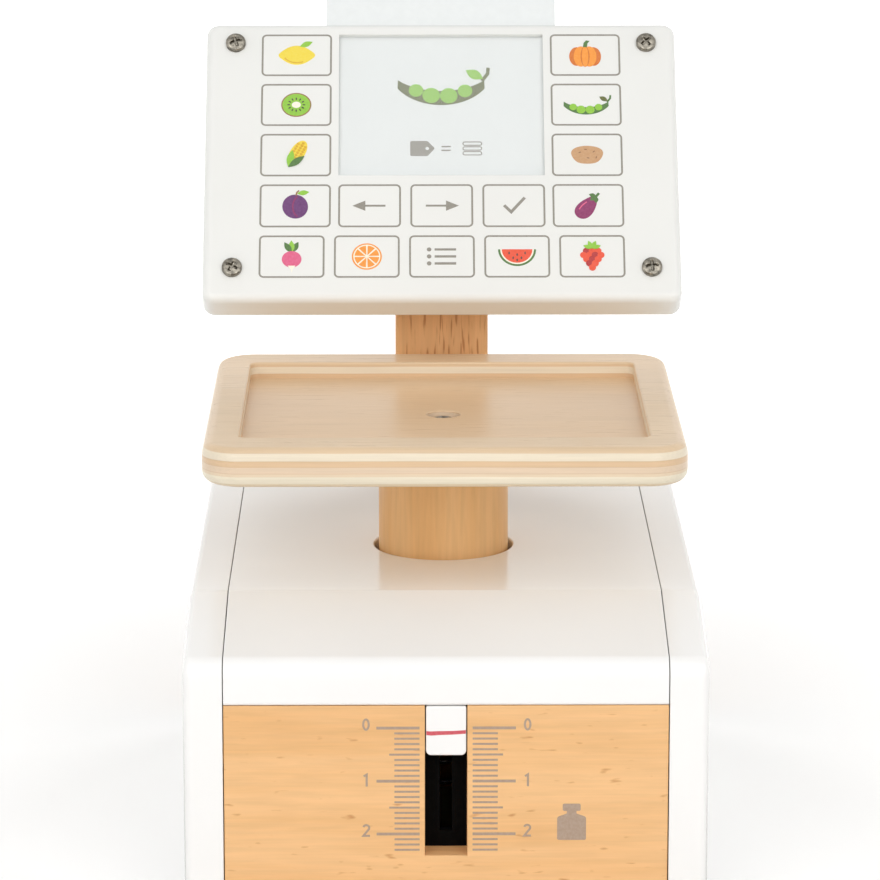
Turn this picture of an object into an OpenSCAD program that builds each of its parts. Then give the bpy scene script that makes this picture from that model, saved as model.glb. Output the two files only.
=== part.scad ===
// Wooden toy shop scale: a sprung weighing tray on a round column, a pointer that runs down a slot
// in the front of the case, and a tilted display on a post that takes picture cards.
// Millimetres, front towards -Y, up is +Z. The origin is the middle of the case's underside.

/* [Case] */
// Clear width between the side panels
case_inner_w = 129.5; // [110:0.5:160]
// Depth from the front face to the back face
case_d = 208; // [200:1:240]
// Height of the flat top above the table
case_h = 85; // [80:1:110]
// Thickness of the side panels
side_t = 11.5; // [10:0.5:15]
// Radius along the outer edges of the side panels
side_edge_r = 2.5; // [1:0.5:4]
// Radius of the side panels' rear upper corner
side_back_r = 4; // [2:0.5:8]
// Thickness of the top board
top_t = 12; // [10:0.5:15]
// Thickness of the lip and of the front panel behind its face
front_t = 10; // [8:0.5:14]
// How far the front panel lies behind the face of the lip
front_set = 0.4; // [0:0.1:1]
// Thickness of the back panel
back_t = 10; // [8:0.5:14]
// Thickness of the bottom board
bottom_t = 8; // [6:0.5:12]
// Side of the square glue blocks in the corners
block_w = 16; // [14:0.5:20]
// Height of the glue blocks
block_h = 40; // [35:1:50]

/* [Nose] */
// Depth of the sloped front of the top
nose_d = 49; // [40:1:60]
// Drop of the slope where it meets the plane of the front face
nose_drop = 9.2; // [6:0.2:12]
// Radius of the rounded nose
nose_r = 6; // [3:0.5:8]
// Height from the flat top down to the lower edge of the lip
lip_drop = 21.9; // [20:0.1:24]
// Radius that eases the lower edge of the lip
lip_ease = 1; // [0.5:0.1:2]

/* [Pointer] */
// Width of the slot in the front panel
slot_w = 12.3; // [11:0.1:16]
// Height of the slot's lower end above the table
slot_z = 17.7; // [17:0.1:24]
// Height of the pointer block
pointer_h = 14.8; // [12:0.1:16]
// Radius of the pointer's lower corners
pointer_r = 1.5; // [0.5:0.1:3]
// Thickness of the arm that carries the pointer
arm_t = 3; // [2.5:0.1:4]
// Depth of the mortise in the back of the pointer
arm_tenon = 4; // [3:0.5:6]
// Depth of the arm's slot in the rim of the foot plate
arm_seat = 10; // [6:0.5:12]
// Thickness of the black backing behind the slot
backing_t = 3; // [2:0.5:5]
// How far the backing reaches past the slot at each side
backing_lap = 8; // [5:0.5:12]

/* [Column] */
// Diameter of the column
column_d = 40; // [36:0.5:44]
// Diameter of the hole in the top board
column_hole_d = 42.8; // [41:0.1:48]
// Distance from the front face back to the column's axis
column_setback = 108; // [104:1:112]
// Diameter of the flange on the column's lower end
foot_d = 58; // [52:0.5:64]
// Thickness of the flange
foot_t = 8; // [6:0.5:10]
// Side of the square block that guides the column under the top board
guide_w = 70; // [66:1:80]
// Thickness of the guide block
guide_t = 10; // [8:0.5:12]
// Outer diameter of the felt stop ring
pad_d = 56; // [50:0.5:64]
// Thickness of the felt stop ring
pad_t = 2; // [1:0.5:3]
// Diameter of the rod that guides the column's lower end
rod_d = 12; // [10:0.5:13]
// How far the rod reaches into the column at rest
rod_lead = 4; // [2:0.5:6]
// Depth of the rod's seat in the bottom board
rod_seat = 6; // [4:0.5:6]
// Radial room between the rod and the bore of the column
bore_room = 2; // [1:0.5:3]
// Length of the column's bore above the rod's highest place
bore_spare = 3; // [2:0.5:4]

/* [Spring] */
// Mean diameter of the coil
spring_d = 18; // [16:0.5:19]
// Diameter of the wire
wire_d = 1.6; // [1.2:0.1:1.8]
// Number of turns, with one close turn at each end
spring_turns = 7; // [6:1:9]
// Clear gap between the close turns
close_gap = 0.6; // [0.5:0.1:1]
// Depth of the spring's seat in the foot plate
spring_seat = 2; // [1:0.5:3]

/* [Tray] */
// Width of the tray
tray_w = 144; // [130:0.5:160]
// Gap left between the tray's back edge and the post
tray_gap = 3; // [2:0.5:10]
// Thickness of the plywood
tray_t = 12; // [10:0.5:15]
// Radius of the tray's corners
tray_corner_r = 12; // [6:0.5:14]
// Radius along the tray's edges
tray_edge_r = 3.5; // [1.5:0.5:4.5]
// Depth of the recess
recess_depth = 5; // [4.5:0.1:6]
// Width of the rim at the left and right
rim_side = 10.8; // [10:0.1:15]
// Width of the rim at the front and back
rim_end = 16.5; // [10:0.1:18]
// Radius of the recess's corners
recess_r = 3; // [2:0.5:6]
// Gap left between tray and case at the end of the travel
tray_clear = 4; // [3:0.5:8]
// Diameter of the counterbore for the tray screw
counterbore_d = 10.4; // [10:0.1:13]
// Depth of the counterbore
counterbore_depth = 2.8; // [2.4:0.1:4]

/* [Post] */
// Width of the post
post_w = 30; // [26:0.5:36]
// Thickness of the post
post_t = 15; // [12:0.5:18]
// Radius of the post's eased edges
post_edge_r = 1; // [0.5:0.5:3]

/* [Display] */
// Width of the display
display_w = 153; // [140:1:165]
// Height of the display along its face
display_h = 103; // [98:0.5:115]
// Lean of the display back from upright, in degrees
display_tilt = 39; // [30:1:48]
// How far the lower edge of the face stands in front of the post
display_reach = 26; // [22:0.5:30]
// Height of the lower edge of the face above the tray
display_over = 21.6; // [18:0.1:32]
// Thickness of the clear pane, and of the front plate over the card
pane_t = 1.5; // [1.2:0.1:3]
// Thickness of the back board
board_t = 8.5; // [6:0.5:9]
// Radius of the display's corners
display_corner_r = 4; // [3:0.5:8]
// Radius along the display's edges
display_edge_r = 2.5; // [1:0.5:2.5]
// Width of the window
window_w = 66.5; // [56:0.5:70]
// Height of the window
window_h = 53; // [44:0.5:56]
// Distance from the top edge down to the window
window_top = 4.5; // [3.5:0.5:6]
// Distance of the corner screws from the side edges
screw_inset_x = 9.5; // [8:0.5:12]
// Distance of the corner screws from the top edge
screw_inset_top = 8; // [7:0.5:11]
// Distance of the corner screws from the lower edge
screw_inset_low = 11.5; // [8:0.5:14]

/* [Card] */
// Width of the picture card
card_w = 75; // [72:0.5:82]
// Height of the picture card
card_h = 75; // [68:0.5:90]
// Thickness of the picture card
card_t = 1.5; // [1:0.1:1.6]
// Radius of the card's corners
card_r = 2; // [1:0.5:4]
// How far the card reaches below the window
card_lap = 4; // [3:0.5:8]

/* [Fasteners] */
// Diameter of the screw shanks
shank_d = 3.2; // [2.5:0.1:4]
// Diameter of the screw heads
head_d = 6.5; // [5.5:0.1:7.5]
// Height of a screw head
head_h = 2; // [1.5:0.1:2.4]
// Length of the cross recess in a pan head
cross_l = 4; // [3:0.1:5]
// Width of the cross recess
cross_w = 0.9; // [0.6:0.1:1.2]
// Depth of the cross recess
cross_depth = 1; // [0.6:0.1:1.2]
// Length of the point of a screw
tip_l = 3; // [2:0.5:4]
// Length of the tray screw under its head
tray_screw_l = 22; // [18:1:24]
// Length of the screws through the foot plate
foot_screw_l = 22; // [18:1:26]
// Length of the screws through the bottom board
base_screw_l = 24; // [18:1:30]
// Length of the screws through the back panel
post_screw_l = 20; // [16:1:22]
// Length of the screws from the display into the post
neck_screw_l = 16; // [14:1:17]
// Distance between the two screws of a pair
screw_pitch = 16; // [12:0.5:18]
// Distance from the column's axis to the foot screws
foot_screw_r = 14.5; // [14.3:0.1:15]
// Diameter of the case dowels
dowel_d = 6; // [5:0.5:7]
// Length of the case dowels
dowel_l = 20; // [16:1:24]
// Depth of the dowel holes in the side panels
dowel_depth = 8; // [6:0.5:9]
// Distance of the top board's dowels from its front and back edges
dowel_inset = 24; // [16:1:30]
// Height of the lower dowels in the front and back panels
dowel_low = 18; // [14:1:24]
// Distance of the upper dowels in the front and back panels below the lip
dowel_drop = 15.7; // [10:0.1:20]

/* [Fits] */
// Gap between pieces that slide past each other
slide_gap = 0.3; // [0.2:0.05:0.4]
// Gap round glued, screwed and inlaid pieces
seat_gap = 0.05; // [0.02:0.01:0.1]

/* [Hidden] */
$fn = 64;

// Colours of the finishes
white_paint = "#F2F0EC";
beech = "#E3B27A";
plywood = "#E0C8A4";
black_paint = "#141414";
felt = "#5A5450";
steel = "#8E8E90";
clear = "#DDEBEE";
card_stock = "#EEF2F1";

// Steps of the side panels' eased edges
edge_steps = 5;
edge_fn = 32;

// Planes of the case, all measured in the shared frame
front_y = -case_d / 2;
back_y = case_d / 2;
inner_front_y = front_y + front_t;
inner_back_y = back_y - back_t;
edge_y = front_y + nose_d;
nose_z = case_h - nose_drop;
lip_z = case_h - lip_drop;
top_z = case_h - top_t;
column_y = front_y + column_setback;
half_w = case_inner_w / 2;

// Heights of the weighing slide at rest, and its travel from there down to the end of the slot
pointer_top_z = lip_z - slide_gap;
pointer_z = pointer_top_z - pointer_h;
travel = pointer_z - slide_gap - slot_z;
tray_z = case_h + travel + tray_clear;
recess_z = tray_z + tray_t - recess_depth;
guide_z = top_z - guide_t;
pad_z = guide_z - pad_t;
foot_top_z = pad_z - slide_gap;
foot_z = foot_top_z - foot_t;
rod_top_z = foot_top_z + rod_lead;
bore_top_z = rod_top_z + travel + bore_spare;
bore_d = rod_d + 2 * bore_room;
pointer_w = slot_w - 2 * slide_gap;
pointer_back_y = inner_front_y - slide_gap;

// Seat of the post and of the display, and the depth of the tray in front of the post
post_y = inner_back_y - post_t;
tray_d = 2 * (post_y - tray_gap - column_y);
display_y = post_y - display_reach;
display_z = tray_z + tray_t + display_over;
window_y = display_h - window_top - window_h;
card_y = window_y - card_lap;
pocket_depth = card_t + 2 * slide_gap;
plate_t = pane_t + pocket_depth;
neck_y = card_y - head_d;

// Geometry helpers

function unit(v) = v / norm(v);

// Profile with its corners rounded: each corner is cut back to its tangent points and filled by a circle.
module rounded_polygon(corners, radii) {
    n = len(corners);
    to_last = [for (i = [0:n - 1]) unit(corners[(i + n - 1) % n] - corners[i])];
    to_next = [for (i = [0:n - 1]) unit(corners[(i + 1) % n] - corners[i])];
    half = [for (i = [0:n - 1]) acos(to_last[i] * to_next[i]) / 2];
    polygon([
        for (i = [0:n - 1])
            each radii[i] == 0 ? [corners[i]] : [
                corners[i] + to_last[i] * radii[i] / tan(half[i]),
                corners[i] + to_next[i] * radii[i] / tan(half[i]),
            ]
    ]);
    for (i = [0:n - 1])
        if (radii[i] > 0)
            translate(corners[i] + unit(to_last[i] + to_next[i]) * radii[i] / sin(half[i]))
                circle(r = radii[i]);
}

// Upright rectangle centred on X, standing on Y = 0
module rounded_rect(w, h, r) {
    rounded_polygon([[-w / 2, 0], [w / 2, 0], [w / 2, h], [-w / 2, h]], [r, r, r, r]);
}

// Cuts a rounded edge where two sides of a profile meet at a corner, turned to face that corner
module edge_cut(corner, turn, r) {
    translate(corner)
        rotate(turn)
            translate([-r, -r])
                difference() {
                    square(2 * r);
                    circle(r = r);
                }
}

// Section of a slab from its middle out to its edge, eased at the top, and below if asked
module edge_section(reach, t, r, both) {
    difference() {
        square([reach, t]);
        edge_cut([reach, t], 0, r);
        if (both)
            edge_cut([reach, 0], -90, r);
    }
}

// Slab standing on Y = 0 with round corners and eased edges: straight strips joined by turned corners
module eased_slab(w, h, t, corner_r, edge_r, both = false) {
    corner_x = w / 2 - corner_r;
    corner_y = h / 2 - corner_r;
    translate([0, h / 2, 0])
        for (turn = [0, 180])
            rotate([0, 0, turn]) {
                translate([corner_x, corner_y, 0])
                    rotate([90, 0, 0])
                        linear_extrude(2 * corner_y)
                            edge_section(corner_r, t, edge_r, both);
                translate([-corner_x, 0, 0])
                    rotate([90, 0, 90])
                        linear_extrude(2 * corner_x)
                            edge_section(h / 2, t, edge_r, both);
                for (side = [0, 1])
                    mirror([side, 0, 0])
                        translate([corner_x, corner_y, 0])
                            rotate_extrude(angle = 90)
                                edge_section(corner_r, t, edge_r, both);
            }
}

// Extrudes a profile of the Y-Z plane along X, starting at x0
module along_x(x0, length) {
    translate([x0, 0, 0])
        rotate([90, 0, 90])
            linear_extrude(length)
                children();
}

// Box spanning two corners
module span(low, high) {
    translate(low)
        cube(high - low);
}

// Plane of the display: X across, Y up the face from its lower edge, Z out of the face
module on_display(depth = 0) {
    translate([0, display_y, display_z])
        rotate([90 - display_tilt, 0, 0])
            translate([0, 0, -depth])
                children();
}

module at_column(z = 0) {
    translate([0, column_y, z])
        children();
}

// Countersunk wood screw pointing down from Z = 0; a gap makes it the hole for that screw
module flat_screw(length, gap = 0) {
    rotate_extrude()
        polygon([
            [0, 0],
            [head_d / 2 + gap, 0],
            [shank_d / 2 + gap, -head_h - gap],
            [shank_d / 2 + gap, -length + tip_l - gap],
            [0, -length - gap],
        ]);
}

// Pan-head wood screw whose head stands on Z = 0, with a cross recess
module pan_screw(length) {
    difference() {
        union() {
            intersection() {
                cylinder(d = head_d, h = head_h);
                translate([0, 0, head_h - head_d])
                    sphere(r = head_d);
            }
            pan_shank(length);
        }
        for (turn = [0, 90])
            rotate([0, 0, turn])
                translate([-cross_l / 2, -cross_w / 2, head_h - cross_depth])
                    cube([cross_l, cross_w, head_h]);
    }
}

// Shank of a pan-head screw, or its hole where a gap is given
module pan_shank(length, gap = 0) {
    rotate_extrude()
        polygon([
            [0, 0],
            [shank_d / 2 + gap, 0],
            [shank_d / 2 + gap, -length + tip_l - gap],
            [0, -length - gap],
        ]);
}

// Places shared by pieces and their holes

module base_screw_places() {
    for (x = [-1, 1], y = [inner_front_y + block_w / 2, inner_back_y - block_w / 2])
        translate([x * (half_w - block_w / 2), y, 0])
            mirror([0, 0, 1])
                children();
}

module post_screw_places() {
    for (rise = [-1, 1])
        translate([0, back_y, (bottom_t + top_z) / 2 + rise * screw_pitch / 2])
            rotate([-90, 0, 0])
                children();
}

module display_screw_places() {
    for (x = [-1, 1], y = [screw_inset_low, display_h - screw_inset_top])
        translate([x * (display_w / 2 - screw_inset_x), y, 0])
            children();
}

module neck_screw_places() {
    for (x = [-1, 1])
        translate([x * screw_pitch / 2, neck_y, 0])
            children();
}

module foot_screw_places() {
    for (x = [-1, 1])
        at_column(foot_z)
            translate([x * foot_screw_r, 0, 0])
                mirror([0, 0, 1])
                    children();
}

// Dowels that pin the boards to the side panels; a gap makes them the holes
module dowels(sides, gap = 0) {
    front_mid_y = inner_front_y - (front_t - front_set) / 2;
    back_mid_y = inner_back_y + back_t / 2;
    top_mid_z = case_h - top_t / 2;
    dowel_high = lip_z - dowel_drop;
    places = [
        [edge_y + dowel_inset, top_mid_z],
        [back_y - dowel_inset, top_mid_z],
        [front_mid_y, dowel_low],
        [front_mid_y, dowel_high],
        [back_mid_y, dowel_low],
        [back_mid_y, dowel_high],
    ];
    for (side = sides, place = places)
        translate([side * (half_w + dowel_depth - dowel_l / 2), place[0], place[1]])
            rotate([0, 90, 0])
                cylinder(d = dowel_d + 2 * gap, h = dowel_l + 2 * gap, center = true);
}

// Case

module side_profile(inset = 0) {
    offset(delta = -inset)
        rounded_polygon(
            [[front_y, 0], [back_y, 0], [back_y, case_h], [edge_y, case_h], [front_y, nose_z]],
            [0, 0, side_back_r, 0, nose_r]
        );
}

// Side panel standing to the right of X = 0, its outer edges eased
module side_panel() {
    hull()
        for (k = [0:edge_steps]) {
            a = 90 * k / edge_steps;
            along_x(0, side_t - side_edge_r * (1 - sin(a)))
                side_profile(side_edge_r * (1 - cos(a)), $fn = edge_fn);
        }
}

module left_side_panel() {
    color(white_paint)
        difference() {
            translate([-half_w, 0, 0])
                mirror([1, 0, 0])
                    side_panel();
            dowels([-1], seat_gap);
        }
}

module right_side_panel() {
    color(white_paint)
        difference() {
            translate([half_w, 0, 0])
                side_panel();
            dowels([1], seat_gap);
        }
}

module top_board() {
    color(white_paint)
        difference() {
            span([-half_w, edge_y, top_z], [half_w, back_y, case_h]);
            at_column()
                cylinder(d = column_hole_d, h = 2 * case_h);
            span(
                [-post_w / 2 - seat_gap, post_y - seat_gap, 0],
                [post_w / 2 + seat_gap, inner_back_y + seat_gap, 2 * case_h]
            );
            dowels([-1, 1], seat_gap);
        }
}

module nose_rail() {
    slope = nose_drop / nose_d;
    under_z = max(lip_z + lip_ease, top_z - slope * (nose_d - front_t));
    color(white_paint)
        along_x(-half_w, case_inner_w)
            rounded_polygon(
                [
                    [edge_y, case_h], [front_y, nose_z], [front_y, lip_z], [inner_front_y, lip_z],
                    [inner_front_y, under_z], [edge_y, top_z],
                ],
                [0, nose_r, lip_ease, 0, 0, 0]
            );
}

module front_panel() {
    color(beech)
        difference() {
            span([-half_w, front_y + front_set, 0], [half_w, inner_front_y, lip_z]);
            span([-slot_w / 2, front_y, slot_z], [slot_w / 2, inner_front_y + front_t, case_h]);
            dowels([-1, 1], seat_gap);
        }
}

module back_panel() {
    color(beech)
        difference() {
            span([-half_w, inner_back_y, 0], [half_w, back_y, top_z]);
            post_screw_places()
                flat_screw(post_screw_l, seat_gap);
            dowels([-1, 1], seat_gap);
        }
}

module bottom_board() {
    color(plywood)
        difference() {
            span([-half_w, inner_front_y, 0], [half_w, inner_back_y, bottom_t]);
            at_column(bottom_t - rod_seat)
                cylinder(d = rod_d + 2 * seat_gap, h = case_h);
            base_screw_places()
                flat_screw(base_screw_l, seat_gap);
        }
}

// Black board behind the slot, open for the arm that carries the pointer
module slot_backing() {
    reach = slot_w / 2 + backing_lap;
    slit = arm_t / 2 + slide_gap;
    color(black_paint)
        difference() {
            span([-reach, inner_front_y, bottom_t], [reach, inner_front_y + backing_t, lip_z]);
            span([-slit, front_y, foot_z - travel - slide_gap], [slit, column_y, case_h]);
        }
}

module guide_block() {
    color(plywood)
        at_column(guide_z)
            difference() {
                translate([-guide_w / 2, -guide_w / 2, 0])
                    cube([guide_w, guide_w, guide_t]);
                translate([0, 0, -guide_t])
                    cylinder(d = column_d + 2 * slide_gap, h = 3 * guide_t);
            }
}

module stop_pad() {
    color(felt)
        at_column(pad_z)
            difference() {
                cylinder(d = pad_d, h = pad_t);
                translate([0, 0, -pad_t])
                    cylinder(d = column_d + 2 * bore_room, h = 3 * pad_t);
            }
}

module guide_rod() {
    color(beech)
        at_column(bottom_t - rod_seat)
            cylinder(d = rod_d, h = rod_top_z - bottom_t + rod_seat);
}

module corner_blocks() {
    color(beech)
        difference() {
            for (x = [-half_w, half_w - block_w], y = [inner_front_y, inner_back_y - block_w])
                translate([x, y, bottom_t])
                    cube([block_w, block_w, block_h]);
            base_screw_places()
                flat_screw(base_screw_l, seat_gap);
        }
}

module case_dowels() {
    color(beech)
        dowels([-1, 1]);
}

module base_screws() {
    color(steel)
        base_screw_places()
            flat_screw(base_screw_l);
}

// Post and display

module post() {
    color(beech)
        difference() {
            translate([0, post_y, bottom_t])
                linear_extrude(display_z + display_h)
                    rounded_rect(post_w, post_t, post_edge_r);
            on_display(plate_t + board_t + seat_gap)
                translate([-display_w, -display_h, 0])
                    cube([2 * display_w, 3 * display_h, 2 * display_h]);
            on_display(plate_t)
                neck_screw_places()
                    flat_screw(neck_screw_l, seat_gap);
            post_screw_places()
                flat_screw(post_screw_l, seat_gap);
        }
}

module post_screws() {
    color(steel)
        post_screw_places()
            flat_screw(post_screw_l);
}

// Rear half of the display, screwed to the post
module display_back_board() {
    color(white_paint)
        on_display(plate_t)
            difference() {
                mirror([0, 0, 1])
                    eased_slab(display_w, display_h, board_t, display_corner_r, display_edge_r);
                neck_screw_places()
                    flat_screw(neck_screw_l, seat_gap);
                translate([0, 0, plate_t])
                    display_screw_places()
                        pan_shank(plate_t + board_t - tip_l / 2, seat_gap);
            }
}

// Front half of the display: the window for the pane and, behind it, the pocket that the card slides into
module display_plate() {
    color(white_paint)
        on_display(plate_t)
            difference() {
                eased_slab(display_w, display_h, plate_t, display_corner_r, display_edge_r);
                translate([-window_w / 2, window_y, -plate_t])
                    cube([window_w, window_h, 3 * plate_t]);
                translate([-card_w / 2 - slide_gap, card_y - slide_gap, -pocket_depth])
                    cube([card_w + 2 * slide_gap, display_h, 2 * pocket_depth]);
                translate([0, 0, plate_t])
                    display_screw_places()
                        pan_shank(plate_t + board_t - tip_l / 2, seat_gap);
            }
}

module display_pane() {
    color(clear)
        on_display(pane_t)
            translate([-window_w / 2 + seat_gap, window_y + seat_gap, 0])
                cube([window_w - 2 * seat_gap, window_h - 2 * seat_gap, pane_t]);
}

module display_screws() {
    color(steel)
        on_display()
            display_screw_places()
                pan_screw(plate_t + board_t - tip_l / 2);
}

module neck_screws() {
    color(steel)
        on_display(plate_t)
            neck_screw_places()
                flat_screw(neck_screw_l);
}

module picture_card() {
    color(card_stock)
        on_display(pane_t + slide_gap + card_t)
            translate([0, card_y, 0])
                linear_extrude(card_t)
                    rounded_rect(card_w, card_h, card_r);
}

// Weighing slide

module column() {
    color(beech)
        difference() {
            at_column(foot_top_z)
                cylinder(d = column_d, h = tray_z - foot_top_z);
            at_column(foot_top_z - column_d)
                cylinder(d = bore_d, h = bore_top_z - foot_top_z + column_d);
            foot_screw_places()
                flat_screw(foot_screw_l, seat_gap);
            at_column(recess_z - counterbore_depth)
                pan_shank(tray_screw_l, seat_gap);
        }
}

module tray() {
    recess_w = tray_w - 2 * rim_side;
    recess_d = tray_d - 2 * rim_end;
    color(plywood)
        difference() {
            at_column(tray_z)
                translate([0, -tray_d / 2, 0])
                    eased_slab(tray_w, tray_d, tray_t, tray_corner_r, tray_edge_r, both = true);
            at_column(recess_z)
                translate([0, -recess_d / 2, 0])
                    linear_extrude(tray_t)
                        rounded_rect(recess_w, recess_d, recess_r);
            at_column(recess_z - counterbore_depth)
                cylinder(d = counterbore_d, h = tray_t);
            at_column(recess_z - counterbore_depth)
                pan_shank(tray_screw_l, seat_gap);
        }
}

module tray_screw() {
    color(steel)
        at_column(recess_z - counterbore_depth)
            pan_screw(tray_screw_l);
}

// Flange on the column: it stops the column, seats the spring and holds the pointer's arm
module foot_plate() {
    color(plywood)
        difference() {
            at_column(foot_z)
                cylinder(d = foot_d, h = foot_t);
            at_column(foot_z - foot_t)
                cylinder(d = rod_d + 2 * slide_gap, h = 3 * foot_t);
            at_column(foot_z - foot_t)
                cylinder(d = spring_d + wire_d + 2 * slide_gap, h = foot_t + spring_seat);
            at_column(foot_z - foot_t)
                translate([-arm_t / 2 - seat_gap, -foot_d, 0])
                    cube([arm_t + 2 * seat_gap, foot_d / 2 + arm_seat + seat_gap, 3 * foot_t]);
            foot_screw_places()
                flat_screw(foot_screw_l, seat_gap);
        }
}

module foot_screws() {
    color(steel)
        foot_screw_places()
            flat_screw(foot_screw_l);
}

module pointer_arm() {
    color(black_paint)
        span(
            [-arm_t / 2, pointer_back_y - arm_tenon, foot_z],
            [arm_t / 2, column_y - foot_d / 2 + arm_seat, foot_top_z]
        );
}

module pointer() {
    face_y = front_y + front_set;
    color(white_paint)
        difference() {
            translate([0, pointer_back_y, pointer_z])
                rotate([90, 0, 0])
                    linear_extrude(pointer_back_y - face_y)
                        rounded_polygon(
                            [
                                [-pointer_w / 2, 0], [pointer_w / 2, 0],
                                [pointer_w / 2, pointer_h], [-pointer_w / 2, pointer_h],
                            ],
                            [pointer_r, pointer_r, 0, 0]
                        );
            span(
                [-arm_t / 2 - seat_gap, pointer_back_y - arm_tenon - seat_gap, foot_z - seat_gap],
                [arm_t / 2 + seat_gap, column_y, foot_top_z + seat_gap]
            );
        }
}

// Compression spring: one tube along a helix with a close turn at each end
module spring() {
    rings = 8;
    sides = 6;
    length = foot_z + spring_seat - bottom_t - 2 * seat_gap;
    close_pitch = wire_d + close_gap;
    rise = length - wire_d;
    open_turns = spring_turns - 2;
    open_pitch = (rise - 2 * close_pitch) / open_turns;
    steps = rings * spring_turns;
    function height(turn) =
        turn < 1 ? turn * close_pitch :
        turn < 1 + open_turns ? close_pitch + (turn - 1) * open_pitch :
        close_pitch + open_turns * open_pitch + (turn - 1 - open_turns) * close_pitch;
    points = [
        for (i = [0:steps], k = [0:sides - 1])
            let (
                a = 360 * i / rings,
                b = 360 * k / sides,
                radius = spring_d / 2 + wire_d / 2 * cos(b)
            )
            [radius * cos(a), radius * sin(a), height(i / rings) + wire_d / 2 * sin(b)]
    ];
    walls = [
        for (i = [0:steps - 1], k = [0:sides - 1])
            let (
                a = i * sides + k,
                b = i * sides + (k + 1) % sides
            )
            each [[a, b, b + sides], [a, b + sides, a + sides]]
    ];
    ends = [
        for (k = [1:sides - 2])
            each [[0, k + 1, k], [steps * sides, steps * sides + k, steps * sides + k + 1]]
    ];
    gaps = [
        for (i = [0:steps - rings], k = [0:sides - 1], m = [0:sides - 1])
            norm(points[i * sides + k] - points[(i + rings) * sides + m])
    ];
    echo(least_gap_between_turns = min(gaps));
    color(steel)
        at_column(bottom_t + seat_gap + wire_d / 2)
            polyhedron(points, concat(walls, ends));
}

left_side_panel();
right_side_panel();
top_board();
nose_rail();
front_panel();
back_panel();
bottom_board();
slot_backing();
guide_block();
stop_pad();
guide_rod();
corner_blocks();
case_dowels();
base_screws();
post();
post_screws();
display_back_board();
display_plate();
display_pane();
display_screws();
neck_screws();
column();
tray();
tray_screw();
foot_plate();
foot_screws();
pointer_arm();
pointer();
spring();
picture_card();
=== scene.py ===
import math

import bmesh
import bpy
from mathutils import Matrix, Vector, geometry


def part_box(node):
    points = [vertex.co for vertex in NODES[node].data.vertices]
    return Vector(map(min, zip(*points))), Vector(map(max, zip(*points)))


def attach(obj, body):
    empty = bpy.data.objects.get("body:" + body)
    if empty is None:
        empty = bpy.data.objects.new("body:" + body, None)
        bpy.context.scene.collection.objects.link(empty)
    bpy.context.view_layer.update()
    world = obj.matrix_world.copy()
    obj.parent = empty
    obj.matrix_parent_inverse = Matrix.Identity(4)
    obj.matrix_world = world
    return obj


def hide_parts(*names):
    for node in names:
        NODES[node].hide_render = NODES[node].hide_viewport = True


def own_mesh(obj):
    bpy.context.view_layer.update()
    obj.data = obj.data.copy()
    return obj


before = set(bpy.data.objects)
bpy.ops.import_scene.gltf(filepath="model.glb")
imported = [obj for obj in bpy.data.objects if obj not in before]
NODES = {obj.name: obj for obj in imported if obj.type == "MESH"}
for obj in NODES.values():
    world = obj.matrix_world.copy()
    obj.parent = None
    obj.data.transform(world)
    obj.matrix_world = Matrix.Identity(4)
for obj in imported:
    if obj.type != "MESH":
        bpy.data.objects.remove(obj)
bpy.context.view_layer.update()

MM = 0.001


def box_mm(node):
    """Lowest and highest corner of a CAD node, in millimetres."""
    low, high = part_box(node)
    return low / MM, high / MM


# Planes of the case and sizes that the boxes don't give, as in the part's source, in millimetres
SIDE_LOW, SIDE_HIGH = box_mm("right_side_panel")
TOP_LOW = box_mm("top_board")[0]
FRONT_LOW, FRONT_HIGH = box_mm("front_panel")
BACK_LOW, BACK_HIGH = box_mm("back_panel")
TRAY_LOW, TRAY_HIGH = box_mm("tray")
POINTER_LOW, POINTER_HIGH = box_mm("pointer")
COLUMN_LOW, COLUMN_HIGH = box_mm("column")
SPRING_LOW, SPRING_HIGH = box_mm("spring")
COLUMN_Y = (COLUMN_LOW.y + COLUMN_HIGH.y) / 2
NOSE_DROP, NOSE_R, LIP_EASE = 9.2, 6.0, 1.0
COLUMN_HOLE_D = 42.8
POST_W, POST_T, POST_GAP = 30.0, 15.0, 0.05
SLOT_W, SLOT_Z = 12.3, 17.7
TRAY_CORNER_R, TRAY_EDGE_R = 12.0, 3.5
RECESS_DEPTH, RIM_SIDE, RIM_END, RECESS_R = 5.0, 10.8, 16.5, 3.0
COUNTERBORE_D, COUNTERBORE_DEPTH, TRAY_HOLE_D = 10.4, 2.8, 3.3
DISPLAY_TILT, DISPLAY_Y, DISPLAY_Z = 39.0, 53.0, 152.6
PANE_T, PLATE_T, BOARD_T, CARD_GAP = 1.5, 3.6, 8.5, 0.3
WINDOW_W, WINDOW_H, WINDOW_Y = 66.5, 53.0, 45.5
SCREW_X, SCREW_LOW, SCREW_TOP = 67.0, 11.5, 95.0
HEAD_D, HEAD_H, SHANK_D, TIP_L, TIP_R = 6.5, 2.0, 3.2, 3.0, 0.1
TRAY_SCREW_L = 22.0
SPRING_D, WIRE_D, SPRING_TURNS, CLOSE_GAP = 18.0, 1.6, 7, 0.6

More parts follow.
